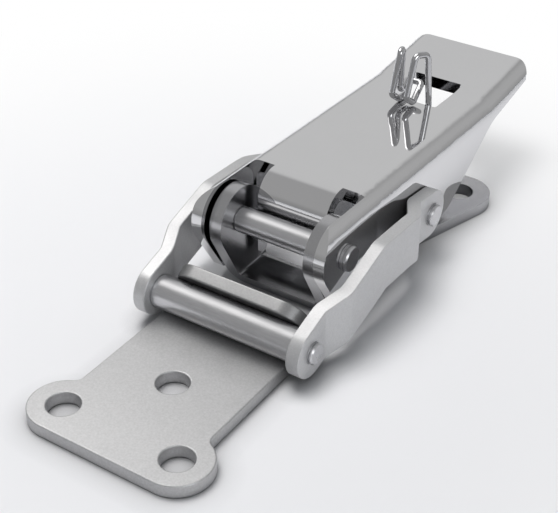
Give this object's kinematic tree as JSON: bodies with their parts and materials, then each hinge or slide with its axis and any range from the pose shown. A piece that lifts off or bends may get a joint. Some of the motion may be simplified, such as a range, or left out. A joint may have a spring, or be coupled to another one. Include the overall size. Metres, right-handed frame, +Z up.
{
  "type": "toggle latch",
  "caption": "Over-centre toggle latch in folded sheet: lever on a base plate, two joggled side arms and a rod that pulls on a hooked catch plate; wire safety clip in the lever's slot.",
  "frame": {"origin": "midway between the catch plate's two ear holes, on the mounting face", "axes": "+X across the latch to the right, +Y along it from the catch plate to the lever's tip, +Z up from the mounting face"},
  "size_m": [0.0468, 0.1534, 0.0376],
  "materials": {
    "matte_steel": "matte grey, fine even grain",
    "satin_steel": "satin, tumbled edges",
    "polished_steel": "mirror polished"
  },
  "bodies": {
    "base": {"base_plate": "satin_steel", "lever_pivot_pin": "satin_steel"},
    "handle": {"lever": "polished_steel", "safety_clip": "polished_steel"},
    "arms": {"left_arm": "satin_steel", "right_arm": "satin_steel", "hook_rod": "satin_steel", "left_arm_rivet": "satin_steel", "right_arm_rivet": "satin_steel"},
    "catch": {"catch_plate": "matte_steel"}
  },
  "joints": [
    {"name": "lever_hinge", "type": "hinge", "parent": "base", "child": "handle", "pos_m": [0, 0.0562, 0.01716], "axis": [1, 0, 0], "range_deg": [0, 100]},
    {"name": "arm_hinge", "type": "hinge", "parent": "handle", "child": "arms", "pos_m": [0, 0.088, 0.012], "axis": [1, 0, 0], "range_deg": [-50.85, 0]},
    {"name": "catch_hinge", "type": "hinge", "parent": "arms", "child": "catch", "pos_m": [0, 0.0363, 0.00695], "axis": [1, 0, 0], "range_deg": [-49.15, 0]}
  ],
  "couplings": [
    {"joint": "arm_hinge", "follows": "lever_hinge", "ratio": -0.5085},
    {"joint": "catch_hinge", "follows": "lever_hinge", "ratio": -0.4915}
  ]
}
